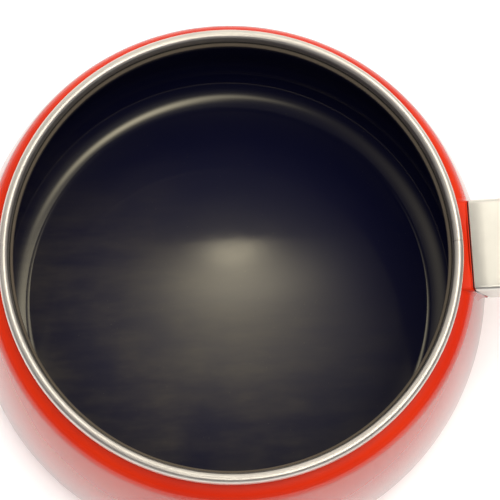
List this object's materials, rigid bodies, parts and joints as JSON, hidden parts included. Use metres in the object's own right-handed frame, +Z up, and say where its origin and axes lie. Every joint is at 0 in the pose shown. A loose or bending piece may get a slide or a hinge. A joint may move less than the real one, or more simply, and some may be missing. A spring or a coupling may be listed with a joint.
{
  "type": "saucepan",
  "caption": "Bellied enamelled-steel saucepan with a stainless trim ring, one stick handle behind a box-shaped flame guard, and a swinging hanging loop.",
  "frame": {"origin": "centre of the flat base, on the pot's axis", "axes": "+Z up the pot's axis, +X along the handle, away from the pot"},
  "size_m": [0.3956, 0.214, 0.1065],
  "materials": {
    "core_steel": "bare drawn sheet",
    "red_enamel": "glossy vitreous enamel",
    "dark_enamel": "satin-gloss vitreous enamel",
    "ground_enamel": "satin ground coat",
    "stainless": "polished along its length",
    "red_bracket": "glossy vitreous enamel on steel",
    "black_phenolic": "satin moulded",
    "fastener_steel": "zinc plated",
    "loop_steel": "polished wire"
  },
  "bodies": {
    "pot": {"pot_body": "core_steel", "outer_enamel": "red_enamel", "inner_enamel": "dark_enamel", "base_enamel": "ground_enamel", "trim_ring": "stainless", "handle_lug": "red_bracket", "lug_weld_nuggets": "core_steel", "lug_nut": "fastener_steel", "flame_guard": "stainless", "grip": "black_phenolic", "tension_rod": "fastener_steel", "end_cap": "stainless", "lock_washer": "fastener_steel", "eye_nut": "fastener_steel"},
    "loop": {"hanging_loop": "loop_steel"}
  },
  "joints": [
    {"name": "loop_swing", "type": "hinge", "parent": "pot", "child": "loop", "pos_m": [0.28308, 0, 0.09987], "axis": [0, -1, 0], "range_deg": [-65, 255]}
  ]
}
